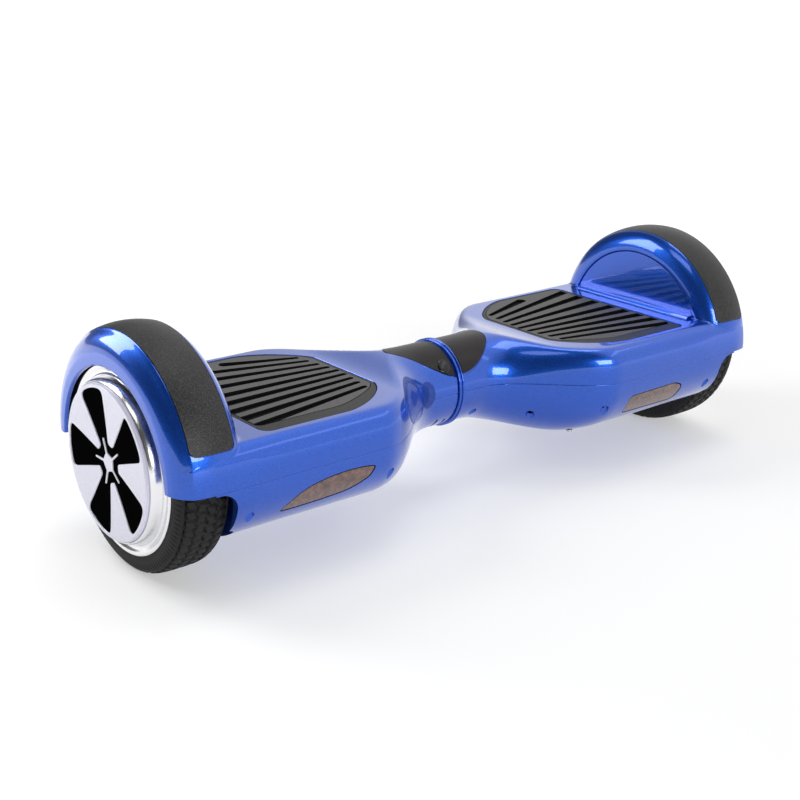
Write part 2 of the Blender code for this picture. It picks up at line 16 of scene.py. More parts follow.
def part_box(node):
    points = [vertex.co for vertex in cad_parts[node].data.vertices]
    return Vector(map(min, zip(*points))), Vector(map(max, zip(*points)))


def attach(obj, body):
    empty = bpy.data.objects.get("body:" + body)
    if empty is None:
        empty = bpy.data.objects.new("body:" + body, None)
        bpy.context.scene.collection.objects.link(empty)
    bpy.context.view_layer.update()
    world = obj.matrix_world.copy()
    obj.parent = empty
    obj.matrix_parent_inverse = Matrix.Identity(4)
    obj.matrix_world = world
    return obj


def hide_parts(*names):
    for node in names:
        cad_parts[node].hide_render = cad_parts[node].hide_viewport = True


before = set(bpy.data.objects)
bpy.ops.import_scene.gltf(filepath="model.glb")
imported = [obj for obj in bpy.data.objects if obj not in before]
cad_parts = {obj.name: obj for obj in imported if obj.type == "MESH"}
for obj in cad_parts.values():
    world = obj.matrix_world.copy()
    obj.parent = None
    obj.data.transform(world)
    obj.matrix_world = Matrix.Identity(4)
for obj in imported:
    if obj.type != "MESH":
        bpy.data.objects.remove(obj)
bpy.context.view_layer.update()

# ---------- sizes from the frame
SIDES = (("left", -1), ("right", 1))
AXLE_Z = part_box("tyre_left")[1].z / 2
DECK_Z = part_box("foot_mat_left")[1].z
HALF_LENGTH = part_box("hub_cap_right")[1].x
MAT_LOW, MAT_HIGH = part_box("foot_mat_right")
MAT_X, MAT_HALF_WIDTH, MAT_BASE_Z = (MAT_LOW.x, MAT_HIGH.x), MAT_HIGH.y, MAT_LOW.z
STRIP_END_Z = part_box("bumper_strip_right")[0].z
DECK_HEIGHT = DECK_Z - AXLE_Z

# ---------- the design's own sizes
NECK_R = 0.0340
NECK_END_X = 0.0031  # beside the collar
BODY_HALF_DEPTH = 0.0930
KEEL_DEPTH = 0.0505
TOP_CROWN, KEEL_CROWN = 0.0340, 0.0560  # half heights of the section, above and below the axle
TOP_POWER, KEEL_POWER = 4.4, 2.4  # how square each half of it is
WALL = 0.0030  # the shells' thickness
POCKET_FLOOR_Z = 0.1045
WELL_X, WELL_END_X = 0.2385, 0.2844  # the room for the wheel
WALL_FACE_X = 0.2345  # the upright wall beside the wheel
ARCH_X, ARCH_TOP, ARCH_CORNER_R = 0.2450, AXLE_Z - 0.0010, 0.0135
BODY_END_X = 0.2620
FENDER_CROWN_X, FENDER_CROWN_R, FENDER_CURVE = 0.2600, 0.0938, 8.0
STRIP_X = (0.2430, 0.2762)
RIM_OPENING_R = 0.0705
OPENING_DROP = 0.0040  # the opening's centre lies below the axle
AXLE_HOLE_X, AXLE_HOLE_R = (0.2250, 0.2450), 0.0105
FILLET = 0.0040
SOCKET_X, BUTTON_X, REAR_Z = 0.1250, 0.1600, 0.0620
SEAM = 0.00025  # set back along each joint between painted shells, which shows as a dark line
# the round indicator window in the left display panel
EYE_X, EYE_ANGLE, EYE_R = 0.0118, 139.6, 0.0060
# ends of the stretches over which the round neck widens into the body
NECK_TO_WIDTH, NECK_TO_KEEL, NECK_TO_DECK = (0.025, 0.120), (0.015, 0.100), (0.045, 0.088)
NECK_TO_SQUARE, BODY_TO_FENDER = (0.045, 0.110), (0.190, 0.240)
WIDER_AT_FENDER = 0.0008
CREASE_R, CREASE_END_R, CREASE_FADE = 0.0030, 0.0006, (0.140, 0.200)


# ---------- mesh helpers
def ease(x, start, end):
    s = np.clip((x - start) / (end - start), 0.0, 1.0)
    return s * s * (3.0 - 2.0 * s)


def soft_min(a, b, reach):
    """The smaller of two values, rounded off where they are within reach of each other."""
    h = np.clip(0.5 + 0.5 * (b - a) / reach, 0.0, 1.0)
    return b + (a - b) * h - reach * h * (1.0 - h)


def full_turn(steps):
    """Angles round a whole turn."""
    return np.linspace(0.0, 2.0 * math.pi, steps, endpoint=False)


def object_from(name, mesh):
    obj = bpy.data.objects.new(name, mesh)
    bpy.context.scene.collection.objects.link(obj)
    return obj


def object_of_form(name, form):
    mesh = bpy.data.meshes.new(name)
    form.to_mesh(mesh)
    form.free()
    return object_from(name, mesh)


def loft(name, rings, closed=False):
    """A closed surface through rings of equal length: flat at both ends, or joined end to end."""
    rings = np.asarray(rings, float)
    count, around = rings.shape[:2]
    faces = []
    for i in range(count if closed else count - 1):
        k = (i + 1) % count
        for j in range(around):
            n = (j + 1) % around
            faces.append((i * around + j, i * around + n, k * around + n, k * around + j))
    if not closed:
        faces.append(tuple(range(around)))
        faces.append(tuple(range((count - 1) * around, count * around)))
    form = bmesh.new()
    made = [form.verts.new(v) for v in rings.reshape(-1, 3)]
    for face in faces:
        form.faces.new([made[i] for i in face])
    bmesh.ops.recalc_face_normals(form, faces=form.faces)
    return object_of_form(name, form)


def around_axle(x, radius, angle, side):
    """Points from the distance along the board, the distance from the axle line and the angle round it."""
    x, radius, angle = np.broadcast_arrays(x, radius, angle)
    return np.stack([side * x, radius * np.cos(angle), AXLE_Z + radius * np.sin(angle)], axis=-1)


def round_points(centre, turn, radius, steps, height=0.0):
    """A ring of points in the plane that turn faces, at a height above the centre."""
    ring = [(radius * math.cos(a), radius * math.sin(a), height) for a in full_turn(steps)]
    return [centre + turn @ Vector(point) for point in ring]


def turned(name, profile, side, steps=96):
    """A closed ring, turned about the axle line from (x, radius) points."""
    profile = np.asarray(profile, float)
    angles = full_turn(steps)
    closed = profile[0, 1] > 0 and profile[-1, 1] > 0
    if not closed:
        profile = profile[profile[:, 1] > 0]
    rings = around_axle(profile[:, :1], profile[:, 1:], angles[None, :], side)
    return loft(name, rings, closed)


def prism(name, outline, low, high, side, upright=True):
    """A flat outline pulled along Z, or along Y where upright is False."""
    if upright:
        rings = [[(x * side, y, level) for x, y in outline] for level in (low, high)]
    else:
        rings = [[(x * side, level, z) for x, z in outline] for level in (low, high)]
    return loft(name, rings)


def rod(name, start, end, radius, side=1, steps=32):
    start, end = Vector(start), Vector(end)
    start.x *= side
    end.x *= side
    turn = (end - start).to_track_quat("Z", "Y")
    return loft(name, [round_points(place, turn, radius, steps) for place in (start, end)])


def joined(name, *objects):
    """Shapes that don't touch, as one object."""
    form = bmesh.new()
    for obj in objects:
        form.from_mesh(obj.data)
        bpy.data.objects.remove(obj)
    return object_of_form(name, form)


def apply_modifiers(obj):
    graph = bpy.context.evaluated_depsgraph_get()
    mesh = bpy.data.meshes.new_from_object(obj.evaluated_get(graph))
    obj.modifiers.clear()
    obj.data = mesh
    return obj


def carve(obj, *cutters, operation="DIFFERENCE"):
    """Cuts each cutter from the object, or leaves only what they share, and removes the cutters."""
    for cutter in cutters:
        modifier = obj.modifiers.new("carve", "BOOLEAN")
        modifier.operation = operation
        modifier.solver = "MANIFOLD"
        modifier.object = cutter
        modifier.material_mode = "TRANSFER"
    apply_modifiers(obj)
    for cutter in cutters:
        bpy.data.objects.remove(cutter)
    return obj


def bevel(obj, width, segments=2, angle=35.0):
    modifier = obj.modifiers.new("rounded", "BEVEL")
    modifier.width = width
    modifier.segments = segments
    modifier.limit_method = "ANGLE"
    modifier.angle_limit = math.radians(angle)
    return obj


def smooth(obj, angle=35.0):
    obj.data.shade_smooth()
    obj.data.set_sharp_from_angle(angle=math.radians(angle))
    weighted = obj.modifiers.new("normals", "WEIGHTED_NORMAL")
    weighted.keep_sharp = True
    return obj


def finish(obj, look, body, slot, *nodes, angle=35.0):
    """Gives a piece its material, smooth shading and body, and hides the CAD nodes that it stands for. The
    slot is not used.
    """
    if not any(obj.data.materials):
        dress(obj, look)
    smooth(obj, angle)
    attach(obj, body)
    if nodes:
        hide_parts(*nodes)
    return obj


def round_corners(points, radii, steps=6):
    """A closed outline with each corner cut back by its own length and rounded."""
    points = [Vector(p) for p in points]
    outline = []
    for i, (corner, cut) in enumerate(zip(points, radii)):
        if not cut:
            outline.append(tuple(corner))
            continue
        before = corner + (points[i - 1] - corner).normalized() * cut
        after = corner + (points[(i + 1) % len(points)] - corner).normalized() * cut
        for k in range(steps + 1):
            t = k / steps
            outline.append(tuple(before * (1 - t) ** 2 + corner * 2 * t * (1 - t) + after * t**2))
    return outline


def grown(outline, margin):
    """The outline moved outwards by a margin, along the normals of its corners."""
    points = np.asarray(outline, float)
    before, after = np.roll(points, 1, axis=0), np.roll(points, -1, axis=0)
    along = after - before
    normal = np.stack([along[:, 1], -along[:, 0]], axis=1)
    normal /= np.linalg.norm(normal, axis=1, keepdims=True)
    area = np.sum(points[:, 0] * after[:, 1] - points[:, 1] * after[:, 0])
    return points + normal * margin * (1.0 if area > 0 else -1.0)


def smooth_line(points, steps=5):
    """More points on a Catmull-Rom curve through the given ones."""
    points = np.asarray(points, float)
    ends = np.vstack([2 * points[0] - points[1], points, 2 * points[-1] - points[-2]])
    line = []
    for a, b, c, d in zip(ends, ends[1:], ends[2:], ends[3:]):
        square, cube = 2 * a - 5 * b + 4 * c - d, 3 * b - a - 3 * c + d
        for t in np.arange(steps) / steps:
            line.append(b + ((c - a) * t + square * t**2 + cube * t**3) / 2)
    line.append(points[-1])
    return np.array(line)


# ---------- materials
def tree(owner):
    return owner.node_tree.nodes, owner.node_tree.links


def ramp(nodes, links, value, *stops):
    node = nodes.new("ShaderNodeValToRGB")
    links.new(value, node.inputs["Fac"])
    elements = node.color_ramp.elements
    while len(elements) < len(stops):
        elements.new(0.5)
    for element, (place, colour) in zip(elements, stops):
        element.position = place
        element.color = (*colour, 1.0)
    return node.outputs["Color"]


def grey(value):
    return (value, value, value)


def add_texture(nodes, links, kind, values):
    """A texture in the object's own metres."""
    node = nodes.new(kind)
    for name, value in values.items():
        node.inputs[name].default_value = value
    links.new(nodes["Texture Coordinate"].outputs["Object"], node.inputs["Vector"])
    return node


def add_relief(nodes, links, height, distance, socket):
    node = nodes.new("ShaderNodeBump")
    node.inputs["Strength"].default_value = 1.0
    node.inputs["Distance"].default_value = distance
    links.new(height, node.inputs["Height"])
    links.new(node.outputs["Normal"], socket)


def look(name, colour, rough, metal=0.0, coat=0.0, grain=0.01, bump=0.0, spread=0.12, rough_spread=0.06,
         detail=4.0, specular=0.5):
    """A Principled material whose colour, roughness and surface vary with a noise grain, given in metres."""
    made = bpy.data.materials.new(name)
    made.use_nodes = True
    nodes, links = tree(made)
    shader = nodes["Principled BSDF"]
    shader.inputs["Metallic"].default_value = metal
    shader.inputs["Coat Weight"].default_value = coat
    shader.inputs["Coat Roughness"].default_value = 0.03
    shader.inputs["Specular IOR Level"].default_value = specular
    nodes.new("ShaderNodeTexCoord")
    noise = add_texture(nodes, links, "ShaderNodeTexNoise", {"Scale": 1.0 / grain, "Detail": detail})
    value = noise.outputs["Fac"]
    low = tuple(c * (1.0 - spread) for c in colour)
    high = tuple(min(c * (1.0 + spread), 1.0) for c in colour)
    links.new(ramp(nodes, links, value, (0.32, low), (0.68, high)), shader.inputs["Base Color"])
    smoothest, roughest = grey(max(rough - rough_spread, 0.02)), grey(rough + rough_spread)
    links.new(ramp(nodes, links, value, (0.3, smoothest), (0.7, roughest)), shader.inputs["Roughness"])
    if bump:
        add_relief(nodes, links, value, bump, shader.inputs["Normal"])
    return made


def paint():
    """Metallic blue with fine flakes, a faint orange peel and a clear coat."""
    made = look("blue_metallic_paint", (0.004, 0.078, 0.50), 0.30, metal=0.80, coat=1.0, grain=0.0005,
                spread=0.22, rough_spread=0.05, detail=1.0)
    nodes, links = tree(made)
    peel = add_texture(nodes, links, "ShaderNodeTexNoise", {"Scale": 160.0, "Detail": 1.0})
    add_relief(nodes, links, peel.outputs["Fac"], 0.00002, nodes["Principled BSDF"].inputs["Coat Normal"])
    return made


def speckled(name, colour, fleck, grain, bump, rough, specular=0.35):
    """Moulded rubber with pale flecks in a pitted surface. On the bumper strip the pale flecks are painted
    glints on its grain.
    """
    made = look(name, colour, rough, grain=grain, bump=bump, spread=0.3, specular=specular)
    nodes, links = tree(made)
    base = nodes["Principled BSDF"].inputs["Base Color"]
    cells = add_texture(nodes, links, "ShaderNodeTexVoronoi", {"Scale": 1.2 / grain})
    spots = ramp(nodes, links, cells.outputs["Distance"], (0.16, grey(1.0)), (0.40, grey(0.0)))
    mix = nodes.new("ShaderNodeMix")
    mix.data_type = "RGBA"
    links.new(spots, mix.inputs["Factor"])
    links.new(base.links[0].from_socket, mix.inputs["A"])
    mix.inputs["B"].default_value = (*grey(fleck), 1.0)
    links.new(mix.outputs["Result"], base)
    return made


def circuit():
    """Green solder mask with pale tracks."""
    made = look("circuit_board_finish", (0.01, 0.11, 0.035), 0.35, grain=0.004, coat=0.4)
    nodes, links = tree(made)
    tracks = add_texture(nodes, links, "ShaderNodeTexBrick", {
        "Scale": 90.0, "Mortar Size": 0.06, "Mortar": (0.35, 0.30, 0.10, 1.0),
        "Color1": (0.01, 0.11, 0.035, 1.0), "Color2": (0.015, 0.14, 0.05, 1.0),
    })
    links.new(tracks.outputs["Color"], nodes["Principled BSDF"].inputs["Base Color"])
    return made


LOOKS = {
    "paint": paint(),
    # the strip's pale flecks are painted glints on its grainy surface
    "strip": speckled("strip_rubber_painted_glints", (0.010, 0.0095, 0.0095), 0.055, 0.0012, 0.0003, 0.42),
    # the ridges are the border's rubber given a lighter grey: painted sheen, on top of their real gloss
    "mat_top": speckled("mat_ridge_painted_sheen", (0.066, 0.063, 0.063), 0.13, 0.0009, 0.00006, 0.55, 0.40),
    "mat_base": speckled("mat_border_finish", (0.012, 0.011, 0.010), 0.04, 0.0009, 0.00006, 0.50),
    # near black with hardly any sheen: painted shade in the mat's grooves and in the pocket under its ribbed
    # field
    "groove": look("mat_groove_painted_shade", grey(0.004), 0.8, grain=0.001, specular=0.1),
    "tyre": look("tyre_rubber_finish", grey(0.006), 0.62, grain=0.0015, bump=0.00008, spread=0.4,
                 specular=0.3),
    "chrome": look("rim_metal_finish", (0.82, 0.82, 0.84), 0.22, metal=1.0, grain=0.012, spread=0.01,
                   rough_spread=0.015),
    "white": look("pearl_white_finish", (0.72, 0.72, 0.84), 0.30, metal=0.10, coat=0.5, grain=0.0005,
                  spread=0.05),
    "window": look("cap_window_finish", grey(0.002), 0.9, grain=0.001, specular=0.0),
    "gloss_black": look("black_gloss_finish", (0.004, 0.004, 0.005), 0.16, grain=0.002, rough_spread=0.02,
                        specular=0.4),
    "panel": look("black_panel_finish", (0.010, 0.007, 0.007), 0.34, grain=0.001, rough_spread=0.04,
                  specular=0.25),
    "lens": look("smoked_lens_finish", (0.115, 0.062, 0.050), 0.24, coat=0.5, grain=0.004, spread=0.45,
                 rough_spread=0.08),
    "badge": look("oval_inlay_finish", (0.003, 0.040, 0.28), 0.42, metal=0.60, coat=0.3, grain=0.001,
                  spread=0.15),
    "cast": look("cast_aluminium_finish", (0.50, 0.51, 0.53), 0.48, metal=1.0, grain=0.0012, bump=0.00006,
                 spread=0.15),
    "steel": look("steel_finish", (0.56, 0.57, 0.58), 0.26, metal=1.0, grain=0.003, spread=0.08),
    "magnet": look("magnet_finish", (0.22, 0.22, 0.24), 0.35, metal=1.0, grain=0.003),
    "core": look("lamination_finish", (0.27, 0.22, 0.19), 0.45, metal=1.0, grain=0.0006, spread=0.3),
    "bronze": look("sintered_bronze_finish", (0.47, 0.31, 0.14), 0.42, metal=1.0, grain=0.0005, spread=0.25,
                   bump=0.00002),
    "wrap": look("battery_wrap_finish", (0.02, 0.06, 0.22), 0.40, coat=0.3, grain=0.006, bump=0.0002,
                 spread=0.2),
    "plastic": look("black_plastic_finish", (0.014, 0.014, 0.015), 0.42, grain=0.0006, bump=0.00003),
    "soft_black": look("soft_rubber_finish", (0.016, 0.016, 0.017), 0.62, grain=0.0008, bump=0.00003),
    "cable": look("cable_sheath_finish", (0.014, 0.014, 0.015), 0.50, grain=0.001, bump=0.00002),
    "board": circuit(),
}
CAD_LOOKS = {
    "cast": ("chassis", "axle_clamp", "motor_cover"),
    "steel": ("wheel_axle", "bearing", "pivot_shaft", "pivot_retaining", "clamp_screw"),
    "magnet": ("magnet_ring",), "core": ("stator",), "bronze": ("pivot_bush",), "wrap": ("battery",),
    "board": ("main_board", "sensor_board", "light_board"),
    "cable": ("motor_cable", "centre_harness"), "soft_black": ("mat_plunger",),
}


def dress(obj, kind):
    obj.data.materials.clear()
    obj.data.materials.append(LOOKS[kind])


def dress_frame():
    """Every CAD node gets the procedural material of its kind."""
    for name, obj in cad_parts.items():
        dress(obj, next((kind for kind, starts in CAD_LOOKS.items() if name.startswith(starts)), "plastic"))


# ---------- the body's form
def body_radius(x, angle, inset=0.0, deck=DECK_HEIGHT):
    """Distance from the axle line to the body's skin, or to a surface inset from it."""
    x = np.asarray(x, float)
    across, up = np.abs(np.cos(angle)), np.abs(np.sin(angle))
    above = np.sin(angle) >= 0
    to_deck, to_keel, to_fender = ease(x, *NECK_TO_DECK), ease(x, *NECK_TO_KEEL), ease(x, *BODY_TO_FENDER)
    width = NECK_R + (BODY_HALF_DEPTH - NECK_R) * ease(x, *NECK_TO_WIDTH) - inset
    width += WIDER_AT_FENDER * to_fender
    bottom = NECK_R + (KEEL_CROWN - NECK_R) * to_keel - inset
    flat_top = TOP_CROWN - inset + (deck - TOP_CROWN + inset) * to_deck
    flat_keel = NECK_R + (KEEL_DEPTH - NECK_R) * to_keel - inset
    squarer = ease(x, *NECK_TO_SQUARE)
    power = np.where(above, 2.0 + (TOP_POWER - 2.0) * squarer, 2.0 + (KEEL_POWER - 2.0) * squarer)
    height = np.where(above, TOP_CROWN - inset, bottom)
    curved = ((across / width) ** power + (up / height) ** power) ** (-1.0 / power)
    flat = np.where(above, flat_top, flat_keel) / np.maximum(up, 1e-6)
    rounding = CREASE_R - (CREASE_R - CREASE_END_R) * ease(x, *CREASE_FADE)
    radius = soft_min(curved, flat, 1e-6 + rounding * np.where(above, to_deck, to_keel))
    held = np.minimum(radius, FENDER_CROWN_R - inset)
    return radius + (held - radius) * to_fender


def crown_radius(x):
    return FENDER_CROWN_R - FENDER_CURVE * (np.asarray(x) - FENDER_CROWN_X) ** 2


def fender_line():
    """(x, radius) points up the wall beside the wheel, over the crown and down to the rim opening."""
    low, high = STRIP_X
    crown = [(x, float(crown_radius(x))) for x in np.linspace(low, high, 6)]
    recess = [(WALL_FACE_X, 0.0722), (WALL_FACE_X, 0.0732), (0.2343, 0.0738), (0.2337, 0.0744),
              (0.2335, 0.0751)]
    roll = [(0.2336, 0.0785), (0.2353, 0.0842), (0.2386, 0.0885)]
    outboard = [(0.2784, 0.0899), (0.2820, 0.0866), (0.2850, 0.0818), (0.2866, 0.0770), (0.2870, 0.0735),
                (0.2870, RIM_OPENING_R - OPENING_DROP - 0.0020)]
    return smooth_line(recess + roll + crown + outboard, 4)


def spaced(weights, values, count):
    """count values between the ends, crowded where the weights are high."""
    total = np.concatenate([[0.0], np.cumsum((weights[1:] + weights[:-1]) / 2 * np.diff(values))])
    return np.interp(np.linspace(0.0, total[-1], count), total, values)


def half_turn_angles(count, shoulder, crowding, start):
    """Angles over half a turn, crowded round the two shoulders."""
    angles = np.linspace(start, math.pi - start, 800)
    near = np.minimum(np.abs(angles - shoulder), np.abs(angles - (math.pi - shoulder)))
    return spaced(1.0 + crowding * np.exp(-((near / 0.12) ** 2)), angles, count)


BODY_STEPS, FILLET_STEPS, WALL_STEPS = 84, 7, 10


def travel(line):
    """How far along a line each of its points is."""
    return np.concatenate([[0.0], np.cumsum(np.linalg.norm(np.diff(line, axis=0), axis=1))])


def at_travel(places, run, line):
    """Points of a line at distances along it."""
    return np.stack([np.interp(places, run, line[:, i]) for i in (0, 1)], axis=-1)


def upper_line(angle, line):
    """The upper shell's (x, radius) outline at one angle.

    It runs along the body, over a fillet, up the wall, over the crown and down to the rim opening.
    """
    count = 60
    wall_r = np.linspace(0.0, line[0, 1], count, endpoint=False)
    whole = np.vstack([np.stack([np.full(count, WALL_FACE_X), wall_r], axis=1), line])
    run = travel(whole)
    start, crown = run[count], run[np.argmax(whole[:, 1])]
    dense = np.linspace(0.0, crown, 600)
    x, r = at_travel(dense, run, whole).T
    outside = np.nonzero(r >= body_radius(x, angle) - 1e-5)[0]
    meet = dense[outside[0]] if len(outside) else crown
    corner = at_travel(meet, run, whole)
    body_end = corner[0] - FILLET
    shares = np.linspace(0.0, 1.0, BODY_STEPS)
    body_x = NECK_END_X + (body_end - NECK_END_X) * shares
    body_x[1] = NECK_END_X + SEAM
    body_r = body_radius(body_x, angle)
    body_r[0] -= SEAM
    leave = min(meet + FILLET, run[-1])
    first = np.array([body_x[-1], body_r[-1]])
    last = at_travel(leave, run, whole)
    t = np.linspace(0.0, 1.0, FILLET_STEPS + 2)[1:-1, None]
    fillet = first * (1 - t) ** 2 + corner * 2 * t * (1 - t) + last * t**2
    settle = max(start, leave + 0.002)
    wall = np.linspace(leave, settle, WALL_STEPS, endpoint=False)
    rest = settle + (run[count:] - start) * (run[-1] - settle) / (run[-1] - start)
    fender = at_travel(np.concatenate([wall, rest]), run, whole)
    return np.vstack([np.stack([body_x, body_r], axis=1), fillet, fender])


def half_shell(name, x, radius, angles, side):
    """A closed half body from outline points at each angle, with a narrow lip along its two long edges."""
    points = around_axle(x, radius, angles[None, :], side)
    lips = []
    for end in (0, -1):
        lip = points[:, end].copy()
        lip[:, 1] -= np.sign(lip[:, 1]) * SEAM
        lip[:, 2] = AXLE_Z + np.sign(np.sin(angles[end])) * SEAM * 0.3
        lips.append(lip[:, None])
    return loft(name, np.concatenate([lips[0], points, lips[1]], axis=1))


def upper_solid(half, side):
    line = fender_line()
    angles = half_turn_angles(125, math.radians(19.0), 4.0, 0.010)
    outlines = np.array([upper_line(a, line) for a in angles])
    return half_shell(f"upper_solid_{half}", outlines[:, :, 0].T, outlines[:, :, 1].T, angles, side)


def lower_solid(half, side):
    x = np.concatenate([[NECK_END_X, NECK_END_X + SEAM], np.linspace(0.006, BODY_END_X, 90)])
    angles = -half_turn_angles(100, math.radians(38.0), 1.0, 0.010)
    radius = body_radius(x[:, None], angles[None, :])
    radius[0] -= SEAM
    return half_shell(f"lower_solid_{half}", x[:, None], radius, angles, side)


def inner_solid(name, side, inset, deck, start, end, steps=40):
    """The whole section inset from the skin, as the room inside the shells or the back of a thin plate."""
    x = np.linspace(start, end, steps)
    angles = full_turn(96)
    radius = body_radius(np.maximum(x, 0.0)[:, None], angles[None, :], inset, deck)
    return loft(name, around_axle(x[:, None], radius, angles[None, :], side))


def room(half, side):
    return inner_solid(f"room_{half}", side, WALL, POCKET_FLOOR_Z - WALL - AXLE_Z, -0.010, WELL_X - WALL)


def well(half, side):
    """The room for the wheel."""
    roof = [(WELL_X, 0.0845), (0.2420, 0.0868), (0.2500, 0.0886), (0.2600, 0.0895), (0.2700, 0.0886),
            (0.2765, 0.0850), (0.2820, 0.0790), (0.2842, 0.0735), (WELL_END_X, 0.0700)]
    profile = [(WELL_X, 0.004)] + list(map(tuple, smooth_line(roof, 4))) + [(WELL_END_X, 0.004)]
    return turned(f"well_{half}", [(WELL_X, 0.0)] + profile + [(WELL_END_X, 0.0)], side, 128)


def rim_opening(half, side):
    """The round opening that the hub looks out of, with a narrow chamfer."""
    r, wide = RIM_OPENING_R, RIM_OPENING_R + 0.0012
    profile = [(0.2700, 0.0), (0.2700, r), (0.2860, r), (0.2872, wide), (0.3000, wide), (0.3000, 0.0)]
    opening = turned(f"rim_opening_{half}", profile, side, 144)
    opening.data.transform(Matrix.Translation((0.0, 0.0, -OPENING_DROP)))
    return opening


def arch(half, side):
    """Everything outboard of the lower shell, with a rounded upper corner."""
    centre = (ARCH_X + ARCH_CORNER_R, ARCH_TOP - ARCH_CORNER_R)
    corner = [(centre[0] + ARCH_CORNER_R * math.cos(a), centre[1] + ARCH_CORNER_R * math.sin(a))
              for a in np.linspace(math.pi, math.pi / 2, 14)]
    outline = [(ARCH_X, -0.05)] + corner + [(0.35, ARCH_TOP), (0.35, -0.05)]
    return prism(f"arch_{half}", outline, -0.2, 0.2, side, upright=False)


# ---------- patches on the skin
def crown_patch(name, side, low_offset, high_offset, margin, corner=0.0055, across=14):
    """A band over the fender's crown with rounded ends, between two offsets from its surface."""
    start = math.asin((STRIP_END_Z - AXLE_Z) / FENDER_CROWN_R) - margin / FENDER_CROWN_R
    length = (math.pi - 2 * start) * FENDER_CROWN_R
    middle, half_width = sum(STRIP_X) / 2, (STRIP_X[1] - STRIP_X[0]) / 2 + margin
    ends = corner * (1.0 - np.cos(np.linspace(0.0, math.pi / 2, 9)))
    run = np.concatenate([ends, np.linspace(corner, length / 2, 40)[1:]])
    run = np.concatenate([run, length - run[-2::-1]])
    angle = start + run / FENDER_CROWN_R
    back = np.clip(corner - np.minimum(run, length - run), 0.0, corner)
    width = half_width - corner + np.sqrt(np.maximum(corner**2 - back**2, 0.0))
    shares = np.linspace(-1.0, 1.0, across)
    x = middle + width[:, None] * shares[None, :]
    outer = around_axle(x, crown_radius(x) + high_offset, angle[:, None], side)
    under = around_axle(x, crown_radius(x) + low_offset, angle[:, None], side)
    return loft(name, np.concatenate([outer, under[:, ::-1]], axis=1))


def panel_solid(name, side, low_offset, high_offset, margin):
    """A thin plate on top of the neck, rounded on the right half and more pointed on the left."""
    length, power = (0.0425, 2.0) if side > 0 else (0.0450, 1.6)
    shares = np.sin(np.linspace(0.0, math.pi / 2, 28))
    shares[-1] = 0.9992
    width = (0.0308 + margin) * (1.0 - shares**power) ** (1.0 / power)
    x = NECK_END_X + 0.0012 - margin + (length + 2 * margin) * shares
    y = width[:, None] * np.linspace(-1.0, 1.0, 25)[None, :]
    # the angle at which the skin has this y
    angles = np.linspace(0.02, math.pi - 0.02, 700)
    rings = []
    for station, row in zip(x, y):
        radius = body_radius(station, angles)
        at = np.interp(row, (radius * np.cos(angles))[::-1], angles[::-1])
        skin = body_radius(station, at)
        outer = around_axle(station, skin + high_offset, at, side)
        under = around_axle(station, skin + low_offset, at, side)
        rings.append(np.concatenate([outer, under[::-1]]))
    return loft(name, rings)


def window_outline(side):
    """The light window in front view: a pointed leaf on the left half, a slanted slot on the right half."""
    if side > 0:
        corners = [(0.1345, 0.0505), (0.1345, 0.0668), (0.1888, 0.0678), (0.1992, 0.0640), (0.1968, 0.0500)]
        return round_corners(corners, [0.0042, 0.0048, 0.0030, 0.0040, 0.0052])
    leaf = [(0.1306, 0.0711, 0.0020), (0.1400, 0.0728, 0.0040), (0.1560, 0.0735, 0.0060),
            (0.1720, 0.0722, 0.0060), (0.1860, 0.0694, 0.0050), (0.1950, 0.0655, 0.0040),
            (0.2030, 0.0593, 0.0030), (0.2076, 0.0550, 0.0022), (0.1950, 0.0543, 0.0050),
            (0.1700, 0.0551, 0.0080), (0.1520, 0.0567, 0.0050), (0.1430, 0.0597, 0.0040),
            (0.1346, 0.0642, 0.0030)]
    return round_corners([corner[:2] for corner in leaf], [corner[2] for corner in leaf])


def mat_outline(inset=0.0):
    """The foot mat in plan: a blunt rounded inboard end and two small outboard corners."""
    corner_x, corner_y, power = 0.1430, 0.0360, 1.5
    reach, drop = corner_x - MAT_X[0], MAT_HALF_WIDTH - corner_y
    front = []
    for angle in np.linspace(0.0, math.pi / 2, 16):
        front.append((corner_x - reach * max(math.cos(angle), 0.0) ** (2.0 / power),
                      -corner_y - drop * math.sin(angle) ** (2.0 / power)))
    small = 0.008
    centre = (MAT_X[1] - small, -MAT_HALF_WIDTH + small)
    for angle in np.linspace(-math.pi / 2, 0.0, 9):
        front.append((centre[0] + small * math.cos(angle), centre[1] + small * math.sin(angle)))
    outline = front + [(x, -y) for x, y in reversed(front)]
    return grown(outline, -inset) if inset else outline


def skin_angle(x, z):
    """The angle at the front at which the skin is at this height."""
    angles = np.linspace(math.pi, 1.5 * math.pi, 400)
    return float(np.interp(-(z - AXLE_Z), -body_radius(x, angles) * np.sin(angles), angles))


def notch(name, x, top, side, front):
    """An upright half-round groove with a domed top, in the lower shell's side."""
    angle = skin_angle(x, top - NOTCH_R)
    y = float(body_radius(x, angle) * math.cos(angle)) * (1 if front else -1)
    domed = [(top - NOTCH_R + NOTCH_R * math.sin(a), NOTCH_R * math.cos(a)) for a in np.linspace(0, 1.45, 6)]
    turn = full_turn(24)
    return loft(name, [[(side * x + r * math.cos(t), y + r * math.sin(t), level) for t in turn]
                       for level, r in [(0.020, NOTCH_R)] + domed])


# ---------- painted shells and what is set in them
NOTCH_R = 0.0035
